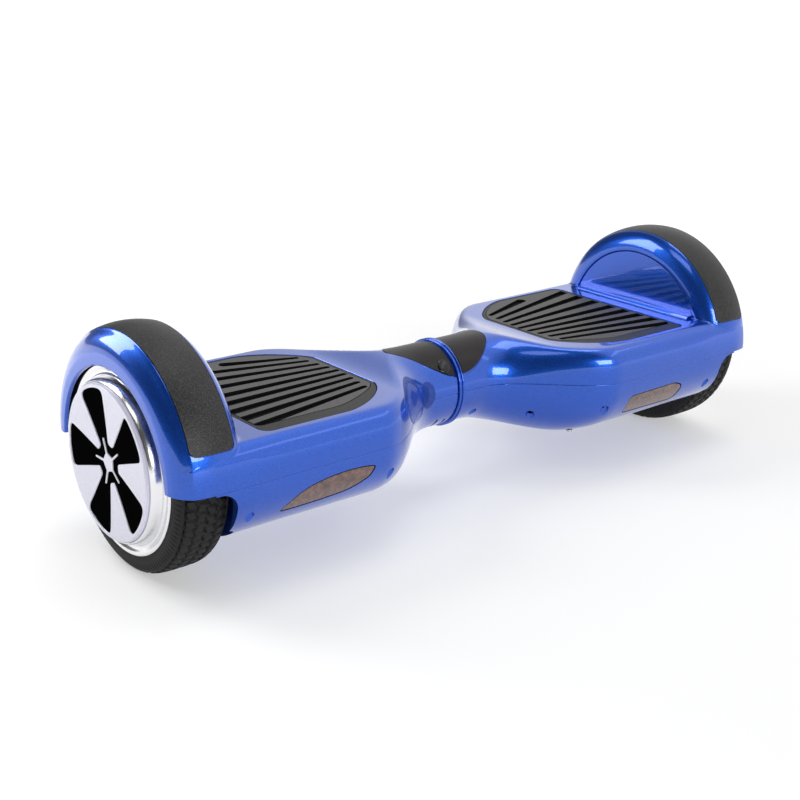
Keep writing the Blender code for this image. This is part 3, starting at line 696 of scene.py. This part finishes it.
# (distance along X, height of the top) of the grooves in each lower shell's side, at the front and the rear
NOTCHES = {
    (-1, True): ((0.2340, 0.0630), (0.1140, 0.0650)),
    (-1, False): ((0.2340, 0.0630), (0.1140, 0.0650)),
    (1, True): ((0.2320, 0.0630), (0.1090, 0.0640), (0.0645, 0.0580), (0.0198, 0.0640)),
    (1, False): ((0.2320, 0.0630), (0.1090, 0.0640)),
}
UNDERSIDE_SCREWS = [(x, y) for x in (0.1050, 0.1600, 0.2200) for y in (-0.0520, 0.0520)]
UNDERSIDE_Z = AXLE_Z - KEEL_DEPTH
PLUNGER_X, PLUNGER_Y = 0.146, 0.036
SLITS = ((0.0084, 0.0605), (0.0172, 0.0620))  # (distance along X, top) of the drain slits near the left neck
SLIT_WIDTH = 0.0020
FRONT_WALL_Y = (-0.12, -0.05)  # a stretch that takes in all of the front wall
LENS_THICKNESS, LENS_SUNK = 0.0024, 0.0003


def rear_place(x, depth):
    """A point on the rear wall's normal at a distance x along the board, depth inside the skin."""
    drop = (AXLE_Z - REAR_Z) / KEEL_CROWN
    reach = 1.0 - drop**KEEL_POWER
    slope = BODY_HALF_DEPTH / KEEL_CROWN * drop ** (KEEL_POWER - 1.0) * reach ** (1.0 / KEEL_POWER - 1.0)
    skin = Vector((x, BODY_HALF_DEPTH * reach ** (1.0 / KEEL_POWER), REAR_Z))
    return skin - depth * Vector((0.0, 1.0, -slope)).normalized()


def axle_hole(half, side):
    start, end = [(x, 0.0, AXLE_Z) for x in AXLE_HOLE_X]
    return rod(f"axle_hole_{half}", start, end, AXLE_HOLE_R, side)


def upper_shell(half, side, body):
    shell = upper_solid(half, side)
    # the mat's pocket, with a narrow chamfer round its mouth
    levels = [(POCKET_FLOOR_Z, 0.0004), (DECK_Z - 0.0003, 0.0004)]
    levels += [(DECK_Z + 0.0003, 0.0009), (DECK_Z + 0.0100, 0.0009)]
    pocket = loft(f"pocket_{half}", [[(x * side, y, level) for x, y in grown(mat_outline(), gap)]
                                     for level, gap in levels])
    groove = crown_patch(f"groove_{half}", side, -0.0018, 0.0060, 0.0005)
    recess = panel_solid(f"recess_{half}", side, -0.0013, 0.0060, 0.0007)
    hole = axle_hole(half, side)
    plunger_holes = [rod(f"plunger_{half}_{i}", (PLUNGER_X, y, 0.090), (PLUNGER_X, y, 0.108), 0.0048, side)
                     for i, y in enumerate((-PLUNGER_Y, PLUNGER_Y))]
    carve(shell, well(half, side), rim_opening(half, side), room(half, side),
          joined(f"cuts_{half}", groove, recess, hole), pocket,
          joined(f"plungers_{half}", *plunger_holes))
    shell.name = f"painted_upper_shell_{half}"
    return finish(shell, "paint", body, "body_paint", f"upper_shell_{half}")


def lower_shell(half, side, body):
    shell = lower_solid(half, side)
    whole = object_from(f"lens_stock_{half}", shell.data.copy())
    window = prism(f"window_{half}", grown(window_outline(side), 0.0009), *FRONT_WALL_Y, side, upright=False)
    cuts = [window, axle_hole(half, side)]
    for front in (True, False):
        cuts += [notch(f"notch_{half}", x, top, side, front) for x, top in NOTCHES[side, front]]
    for i, (x, y) in enumerate(UNDERSIDE_SCREWS):
        cuts.append(rod(f"sink_{half}_{i}", (x, y, 0.020), (x, y, UNDERSIDE_Z + 0.0022), 0.0036, side))
    if side > 0:
        for x, r in ((BUTTON_X, 0.0072), (SOCKET_X, 0.0082)):
            cuts.append(rod("rear_hole", rear_place(x, 0.02), rear_place(x, -0.02), r))
    else:
        for i, (x, top) in enumerate(SLITS):
            outline = [(x, -0.030), (x + SLIT_WIDTH, -0.030), (x + SLIT_WIDTH, -0.012), (x, -0.012)]
            cuts.append(prism(f"slit_{i}", outline, 0.040, top, side))
    carve(shell, well(half, side), arch(half, side), room(half, side), joined(f"lower_cuts_{half}", *cuts))
    shell.name = f"painted_lower_shell_{half}"
    finish(shell, "paint", body, "body_paint", f"lower_shell_{half}")

    outline = prism(f"lens_outline_{half}", window_outline(side), *FRONT_WALL_Y, side, upright=False)
    back = inner_solid(f"lens_back_{half}", side, LENS_THICKNESS, DECK_HEIGHT, -0.01, 0.26, 90)
    carve(whole, outline, operation="INTERSECT")
    carve(whole, back)
    whole.data.transform(Matrix.Translation((0.0, LENS_SUNK, 0.0)))
    whole.name = f"smoked_lens_{half}"
    bevel(whole, 0.0005)
    finish(whole, "lens", body, "smoked_lens", f"light_lens_{half}")
    for i, (x, y) in enumerate(UNDERSIDE_SCREWS):
        underside_screw(f"shell_screw_{half}_{i}", x, y, side, body)


def underside_screw(name, x, y, side, body):
    """The head of a shell screw in its counterbore."""
    low, high, bottom, sunk = (Vector((x, y, UNDERSIDE_Z + up)) for up in (0.0004, 0.0021, -0.0010, 0.0014))
    head = rod(name, low, high, 0.0029, side, 24)
    socket = rod(f"{name}_socket", bottom, sunk, 0.0013, side, 6)
    carve(head, socket)
    bevel(head, 0.0003)
    finish(head, "steel", body, "steel")


def badge(half, side, body):
    """A plain oval inlay on the neck, following the skin."""
    centre, size = np.array([0.0350, math.radians(171.0)]), np.array([0.0085, math.radians(17.0)])
    turn = full_turn(72)
    edge = np.stack([np.cos(turn), np.sin(turn)], axis=1) * size
    shares = np.linspace(1.0, 0.04, 14)
    rings = []
    for height, scales in ((0.00016, shares[::-1]), (-0.0003, shares)):
        for share in scales:
            x, angle = (centre + edge * share).T
            rings.append(around_axle(x, body_radius(x, angle) + height, angle, side))
    finish(loft(f"oval_inlay_{half}", rings), "badge", body, "body_paint")


def wall_ledge(half, side, body):
    """The narrow raised ledge along the foot of the wall beside the wheel."""
    top = DECK_Z + 0.0022
    foot, inner, outer = DECK_Z - 0.0020, 0.2290, 0.2350
    outline = [(inner, foot), (inner, top - 0.0016), (inner + 0.0012, top), (outer, top), (outer, foot)]
    ledge = prism(f"wall_ledge_{half}", outline, -0.0655, 0.0655, side, upright=False)
    bevel(ledge, 0.0003)
    finish(ledge, "paint", body, "body_paint")


def strip(half, side, body):
    band = crown_patch(f"rubber_bumper_strip_{half}", side, -0.0017, 0.0000, 0.0, across=18)
    bevel(band, 0.0006, 3, 50)
    finish(band, "strip", body, "strip_rubber", f"bumper_strip_{half}", angle=50)


def panels(half, side, body):
    plate = panel_solid(f"gloss_display_panel_{half}", side, -0.0012, 0.0001, 0.0)
    finish(plate, "panel", body, "black_gloss", f"display_panel_{half}", angle=40)
    if side < 0:
        angle = math.radians(EYE_ANGLE)
        skin = float(body_radius(EYE_X, angle))
        out = Vector((0.0, math.cos(angle), math.sin(angle)))
        centre = Vector((side * EYE_X, 0.0, AXLE_Z)) + out * skin
        eye = dome(f"indicator_eye_{half}", centre, out, EYE_R, 0.0012)
        finish(eye, "gloss_black", body, "black_gloss")


def dome(name, centre, out, radius, rise):
    """A low dome on a short foot, facing along out."""
    turn = out.to_track_quat("Z", "Y")
    slopes = np.linspace(0, 1.45, 8)
    profile = [(radius, -rise)] + [(radius * math.cos(a), rise * math.sin(a)) for a in slopes]
    return loft(name, [round_points(centre, turn, r, 48, h) for r, h in profile])


def collar():
    """The bead between the halves: two ridges with a groove between them."""
    ridge = [(0.0017 + 0.0010 * math.cos(a), 0.0346 + 0.0012 * math.sin(a))
             for a in np.linspace(0, math.pi, 9)]
    profile = [(0.0027, 0.0300)] + ridge + [(-x, r) for x, r in reversed(ridge)] + [(-0.0027, 0.0300)]
    bead = turned("painted_collar_bead", profile, 1, 128)
    finish(bead, "paint", "left_half", "body_paint", "collar_ring", angle=50)


# ---------- foot mats
GROOVE_STARTS = [-0.0405 + 0.0105 * i for i in range(9)]
GROOVE_START_X = 0.0970


def mat_groove(name, start_y, side):
    """A groove that fans outwards from the mat's inboard end, with round ends."""
    slope = start_y * (8.0 if start_y > 0 else 5.0)
    inboard = 0.0955 + 0.0012 * (abs(start_y) / 0.01) ** 1.2
    outboard = MAT_X[1] - 0.0042
    if start_y > 0:
        outboard = min(outboard, GROOVE_START_X + (0.0640 - start_y) / slope)
    x = np.linspace(inboard, outboard, 24)
    y = start_y + slope * (x - GROOVE_START_X)
    half = 0.0023 + 0.0023 * (x - x[0]) / (x[-1] - x[0])

    def round_end(i, start):
        angles = np.linspace(start, start + math.pi, 8)
        return [(x[i] + half[i] * math.cos(a), y[i] + half[i] * math.sin(a)) for a in angles]

    front, rear = list(zip(x, y - half))[1:-1], list(zip(x, y + half))[-2:0:-1]
    outline = round_end(0, math.pi / 2) + front + round_end(-1, -math.pi / 2) + rear
    return prism(name, outline, DECK_Z - 0.0040, DECK_Z + 0.0050, side)


def pad_outline():
    """The ribbed field: the mat's outline drawn in, most of all along the front edge."""
    outline = np.array(mat_outline(0.0032))
    front = outline[:, 1] < -0.030
    pull = 0.0100 * ease(-outline[:, 1], 0.030, 0.0738)
    outline[front, 1] += pull[front]
    return [tuple(p) for p in outline]


def foot_mat(half, side, body):
    base = prism(f"mat_border_{half}", mat_outline(), MAT_BASE_Z, DECK_Z - 0.0003, side)
    floor = DECK_Z - 0.0024
    field = prism(f"field_{half}", grown(pad_outline(), 0.0002), floor, DECK_Z + 0.01, side)
    # the pocket floor and walls cut for the ribbed field take the near-black groove material: painted shade
    # where the grooves open onto it
    dress(field, "groove")
    dress(base, "mat_base")
    carve(base, field)
    bevel(base, 0.0005, 2, 50)
    finish(base, "mat_base", body, "mat_rubber", f"foot_mat_{half}", angle=50)
    pad = prism(f"mat_ridges_{half}", pad_outline(), floor + 0.0001, DECK_Z, side)
    dress(pad, "mat_top")
    grooves = joined(f"grooves_{half}", *[mat_groove(f"groove_{half}_{i}", y, side)
                                          for i, y in enumerate(GROOVE_STARTS)])
    # the groove walls take the near-black groove material too: painted shade
    dress(grooves, "groove")
    carve(pad, grooves)
    bevel(pad, 0.0004, 2, 50)
    finish(pad, "mat_top", body, "mat_rubber", angle=50)


# ---------- wheels
PETALS, FIRST_OPENING, OPENING_HALF_ANGLE = 5, 18.5, 18.5  # degrees from the top, towards the rear
CAP_R, OPENING_R, TIP_R, STAR_R, PENTAGON_R = 0.0552, 0.0527, 0.0140, 0.0176, 0.0070
CAP_DISH, CAP_DEPTH, WINDOW_DEPTH = 0.0020, 0.0026, 0.0008


def wheel_point(radius, degrees, offset=0.0):
    """(y, z) in the wheel's plane, at an angle from the top towards the rear, moved sideways by an offset."""
    a = math.radians(degrees)
    return (radius * math.sin(a) + offset * math.cos(a), radius * math.cos(a) - offset * math.sin(a))


def cap_face(y, z):
    """The hub cap's face is a shallow dish."""
    return HALF_LENGTH - 0.0002 - CAP_DISH * max(1.0 - (y * y + z * z) / OPENING_R**2, 0.0)


def flat_plate(name, outlines, low, high, side, edge):
    """A plate between two depths below the cap's face, rounded, with a hole in each nested outline."""
    curve = bpy.data.curves.new(name, "CURVE")
    curve.dimensions = "2D"
    curve.fill_mode = "BOTH"
    curve.extrude = (high - low) / 2 - edge
    curve.bevel_depth = edge
    curve.bevel_resolution = 2
    curve.offset = -edge
    for outline in outlines:
        spline = curve.splines.new("POLY")
        spline.points.add(len(outline) - 1)
        spline.use_cyclic_u = True
        for point, (y, z) in zip(spline.points, outline):
            point.co = (y, z, 0.0, 1.0)
    flat = object_from(name, curve)
    mesh = bpy.data.meshes.new_from_object(flat.evaluated_get(bpy.context.evaluated_depsgraph_get()))
    bpy.data.objects.remove(flat)
    form = bmesh.new()
    form.from_mesh(mesh)
    bmesh.ops.remove_doubles(form, verts=form.verts, dist=1e-6)
    long_edges = [e for e in form.edges if e.calc_length() > 0.006]
    bmesh.ops.subdivide_edges(form, edges=long_edges, cuts=3)
    for v in form.verts:
        y, z, x = v.co
        v.co = (side * (cap_face(y, z) + (low + high) / 2 + x), y, AXLE_Z + z)
    bmesh.ops.recalc_face_normals(form, faces=form.faces)
    form.to_mesh(mesh)
    form.free()
    mesh.materials.clear()
    return object_from(name, mesh)


def petal_opening():
    """The one opening that leaves five petals: wide at the rim, with blunt tips near the hub."""
    points, cuts = [], []
    for k in range(PETALS):
        middle = FIRST_OPENING + 360.0 / PETALS * k
        arc = [-OPENING_HALF_ANGLE, *np.linspace(-12.0, 12.0, 9), OPENING_HALF_ANGLE]
        points += [wheel_point(OPENING_R, middle + offset) for offset in arc]
        cuts += [0.0050] + [0.0] * 9 + [0.0050]
        tip = middle + 180.0 / PETALS
        points += [wheel_point(TIP_R, tip, offset) for offset in (-0.0030, 0.0030)]
        cuts += [0.0020, 0.0020]
    return round_corners(points, cuts)


def hub_star():
    """A small pentagon with a thin arm from each corner."""
    points = []
    for k in range(PETALS):
        arm = FIRST_OPENING + 360.0 / PETALS * k
        for radius, offset in ((PENTAGON_R, -0.0008), (STAR_R, -0.0007), (STAR_R, 0.0007),
                               (PENTAGON_R, 0.0008)):
            points.append(wheel_point(radius, arm, offset))
    return round_corners(points, [0.0006] * len(points), 3)


def circle(radius, steps=144):
    return [wheel_point(radius, 360.0 * i / steps) for i in range(steps)]


def hub_cap(half, side, body):
    plate = flat_plate(f"petal_cap_{half}", [circle(CAP_R), petal_opening()], -CAP_DEPTH, 0.0, side, 0.0004)
    finish(plate, "white", body, "cap_white", f"hub_cap_{half}")
    star = flat_plate(f"cap_star_{half}", [hub_star()], -WINDOW_DEPTH - 0.0003, 0.0, side, 0.0003)
    finish(star, "white", body, "cap_white")
    backing = flat_plate(f"cap_window_{half}", [circle(CAP_R - 0.0008)], -CAP_DEPTH - 0.0015, -WINDOW_DEPTH,
                         side, 0.0003)
    finish(backing, "window", body, "black_gloss")
    rim = [(0.2862, 0.0500), (0.2862, 0.0560), (0.2893, 0.0560), (0.2893, 0.0500)]
    base = turned(f"cap_rim_{half}", rim, side, 144)
    finish(base, "white", body, "cap_white")


def hub_rim(half, side, body):
    dish = smooth_line([(0.2890, 0.0564), (0.2890, 0.0570), (0.2868, 0.0582), (0.2830, 0.0593),
                        (0.2803, 0.0604), (0.2797, 0.0616), (0.2803, 0.0634), (0.2813, 0.0652),
                        (0.2818, 0.0667)])
    lip = [(0.2817, 0.0674), (0.2812, 0.0680), (0.2802, 0.0683), (0.2792, 0.0679)]
    barrel = [(0.2790, 0.0637), (0.2445, 0.0637), (0.2445, 0.0600), (0.2820, 0.0600), (0.2820, 0.0185),
              (0.2775, 0.0185), (0.2775, 0.0145), (0.2856, 0.0145), (0.2856, 0.0562)]
    rim = turned(f"polished_rim_{half}", list(map(tuple, dish)) + lip + barrel, side, 144)
    finish(rim, "chrome", body, "chrome_rim", f"hub_rim_{half}", angle=40)


BLOCKS, BLOCK_SAMPLES, TREAD_ROWS = 66, 10, 4
TREAD_X, TREAD_DEPTH, SHOULDER_DEPTH = (0.2450, 0.2772), 0.0018, 0.0005


def groove_depth(position, width):
    """1 in a groove at whole numbers of the position, 0 on the blocks between."""
    off = np.abs(position - np.round(position))
    return 1.0 - ease(off, width * 0.5, width * 0.5 + 0.07)


def tyre(half, side, body):
    """Staggered tread blocks, short ribs on the shoulders and plain sidewalls."""
    middle, width = sum(TREAD_X) / 2, TREAD_X[1] - TREAD_X[0]
    outer = [(0.0194, 0.0686), (0.0196, 0.0712), (0.0195, 0.0745), (0.0187, 0.0777), (0.0168, 0.0803),
             (0.0140, 0.0817), (0.0090, 0.0824), (0.0, 0.0825)]
    line = smooth_line(outer + [(-x, r) for x, r in reversed(outer[:-1])], 6)
    run = travel(line)
    weights = 1.0 + 1.2 * ease(line[:, 1], 0.0790, 0.0815)
    places = spaced(weights, run, 62)
    x, r = at_travel(places, run, line).T
    turn = np.linspace(0.0, 1.0, BLOCKS * BLOCK_SAMPLES, endpoint=False)
    row = (x + width / 2) / width * TREAD_ROWS
    wave = 0.09 * np.sin(2 * math.pi * turn * BLOCKS)
    lengthwise = groove_depth(row[:, None] + wave[None, :], 0.16)
    stagger = np.floor(row)[:, None] % 2 * 0.5
    crosswise = groove_depth(turn[None, :] * BLOCKS + stagger, 0.14)
    tread = ((row > 0.0) & (row < TREAD_ROWS))[:, None]
    depth = TREAD_DEPTH * np.where(tread, np.maximum(lengthwise, crosswise), 0.0)
    shoulder = (ease(r, 0.0742, 0.0750) * (1.0 - ease(r, 0.0785, 0.0795)))[:, None]
    depth = depth + SHOULDER_DEPTH * shoulder * groove_depth(turn[None, :] * BLOCKS * 2, 0.30)
    # grooves sink along the section's normal, towards its middle
    sideways = np.abs(np.interp(places, run, np.gradient(line[:, 1], run)))
    inwards = np.abs(np.interp(places, run, np.gradient(line[:, 0], run)))
    x_all = middle + x[:, None] - (np.sign(x) * sideways)[:, None] * depth
    r_all = r[:, None] - inwards[:, None] * depth
    skin = around_axle(x_all, r_all, turn[None, :] * 2.0 * math.pi, side)
    bead = np.array([(0.2440, 0.0684), (0.2440, 0.0642), (0.2786, 0.0642), (0.2786, 0.0684)])
    inner = around_axle(bead[:, :1], bead[:, 1:], turn[None, :] * 2.0 * math.pi, side)
    rubber = loft(f"treaded_tyre_{half}", np.concatenate([skin, inner]), closed=True)
    finish(rubber, "tyre", body, "tyre_rubber", f"tyre_{half}", angle=55)


# ---------- rear fittings
def rear_disc(name, x, depth, face, radius, groove, sink):
    """A round fitting on the rear wall, between two depths along its normal, with a ring sunk in its face."""
    disc = rod(name, rear_place(x, depth), rear_place(x, face), radius, 1, 64)
    carve(disc, ring_cutter(f"{name}_ring", x, face, *groove, sink))
    return bevel(disc, 0.0004)


def rear_fittings():
    button = rear_disc("round_power_button", BUTTON_X, 0.0100, -0.0016, 0.0068, (0.0048, 0.0054), 0.0006)
    finish(button, "plastic", "power_button", "black_plastic", "power_button")
    cap = rear_disc("rubber_charge_cap", SOCKET_X, -0.0004, -0.0020, 0.0086, (0.0060, 0.0067), 0.0005)
    finish(cap, "soft_black", "charge_cap", "black_rubber", "charge_cap")


def ring_cutter(name, x, face_depth, inner, outer, sink):
    """A shallow ring sunk in a round face on the rear wall."""
    start, end = rear_place(x, face_depth + sink), rear_place(x, face_depth - 0.002)
    turn = (end - start).to_track_quat("Z", "Y")
    corners = ((start, inner), (start, outer), (end, outer), (end, inner))
    return loft(name, [round_points(place, turn, radius, 64) for place, radius in corners], closed=True)


# ---------- stage
CAMERA_PLACE = Vector((-0.69467, -0.81153, 0.44050))
CAMERA_AIM = Vector((0.02013, 0.06699, 0.04394))
CAMERA_ROLL = -0.737
CAMERA_LENS = 63.03
BRIGHT_AZIMUTH, BRIGHT_ELEVATION = -5.0, 20.0
BRIGHT_SKY, DARK_SKY = 1.05, 0.06
NEAR_GLOW = 0.40  # the floor shines by itself, more so further off, so that it stays white
FLOOR_HALF_SIZE, GLOW_REACH = 60.0, 5.0
SOFTBOXES = (  # azimuth and elevation seen from the object, width, height, radiance, distance
    ("overhead", 10.0, 78.0, 2.0, 2.0, 3.0, 5.0),
    ("front_window", -93.0, 17.0, 2.5, 1.6, 9.0, 5.0),
    ("rear_window", 131.0, 34.0, 0.42, 0.90, 6.5, 1.1),
    ("shoulder", -36.0, 46.0, 3.2, 0.6, 1.2, 5.0),
    ("left_top", -168.0, 64.0, 2.4, 1.6, 2.2, 5.0),
)


def camera():
    data = bpy.data.cameras.new("camera")
    data.lens = CAMERA_LENS
    data.clip_start, data.clip_end = 0.05, 60.0
    obj = object_from("camera", data)
    turn = (CAMERA_AIM - CAMERA_PLACE).to_track_quat("-Z", "Y").to_matrix().to_4x4()
    roll = Matrix.Rotation(math.radians(-CAMERA_ROLL), 4, "Z")
    obj.matrix_world = Matrix.Translation(CAMERA_PLACE) @ turn @ roll
    bpy.context.scene.camera = obj


def towards(azimuth, elevation):
    """A direction from its angle round from +X towards +Y and its height, in degrees."""
    a, e = math.radians(azimuth), math.radians(elevation)
    return Vector((math.cos(a) * math.cos(e), math.sin(a) * math.cos(e), math.sin(e)))


def softbox(name, azimuth, elevation, width, height, radiance, distance):
    data = bpy.data.lights.new(name, "AREA")
    data.shape = "RECTANGLE"
    data.size, data.size_y = width, height
    data.energy = radiance * math.pi * width * height
    obj = object_from(name, data)
    way = towards(azimuth, elevation)
    obj.location = Vector((0.0, 0.0, 0.1)) + way * distance
    obj.rotation_euler = way.to_track_quat("Z", "Y").to_euler()


def sky():
    """A studio that is bright to the right and the rear, and dark on the left and in front."""
    world = bpy.data.worlds.new("studio")
    bpy.context.scene.world = world
    world.use_nodes = True
    nodes, links = tree(world)
    direction = nodes.new("ShaderNodeTexCoord").outputs["Generated"]
    facing = nodes.new("ShaderNodeVectorMath")
    facing.operation = "DOT_PRODUCT"
    links.new(direction, facing.inputs[0])
    facing.inputs[1].default_value = towards(BRIGHT_AZIMUTH, BRIGHT_ELEVATION)
    dark, dusk, bright = grey(DARK_SKY), grey(DARK_SKY * 1.5), grey(1.0)
    shade = ramp(nodes, links, facing.outputs["Value"], (0.0, dark), (0.25, dusk), (0.62, bright))
    links.new(shade, nodes["Background"].inputs["Color"])
    nodes["Background"].inputs["Strength"].default_value = BRIGHT_SKY


def floor():
    form = bmesh.new()
    bmesh.ops.create_grid(form, x_segments=1, y_segments=1, size=FLOOR_HALF_SIZE)
    obj = object_of_form("floor", form)
    white = look("floor_white", grey(0.58), 0.9, grain=0.5, spread=0.01, specular=0.1)
    nodes, links = tree(white)
    far = nodes.new("ShaderNodeVectorMath")
    far.operation = "LENGTH"
    links.new(nodes["Texture Coordinate"].outputs["Object"], far.inputs[0])
    reach = nodes.new("ShaderNodeMath")
    reach.operation = "DIVIDE"
    reach.inputs[1].default_value = GLOW_REACH
    links.new(far.outputs["Value"], reach.inputs[0])
    glow = ramp(nodes, links, reach.outputs["Value"], (0.09, grey(NEAR_GLOW)), (0.36, grey(1.0)))
    links.new(glow, nodes["Principled BSDF"].inputs["Emission Color"])
    nodes["Principled BSDF"].inputs["Emission Strength"].default_value = 1.0
    obj.data.materials.append(white)


def stage():
    camera()
    sky()
    floor()
    for box in SOFTBOXES:
        softbox(*box)
    bpy.context.scene.view_settings.view_transform = "Standard"


def main():
    stage()
    dress_frame()
    for half, side in SIDES:
        body = f"{half}_half"
        upper_shell(half, side, body)
        lower_shell(half, side, body)
        wall_ledge(half, side, body)
        strip(half, side, body)
        panels(half, side, body)
        if side < 0:
            badge(half, side, body)
        foot_mat(half, side, f"{half}_mat")
        wheel = f"{half}_wheel"
        tyre(half, side, wheel)
        hub_rim(half, side, wheel)
        hub_cap(half, side, wheel)
    collar()
    rear_fittings()


main()
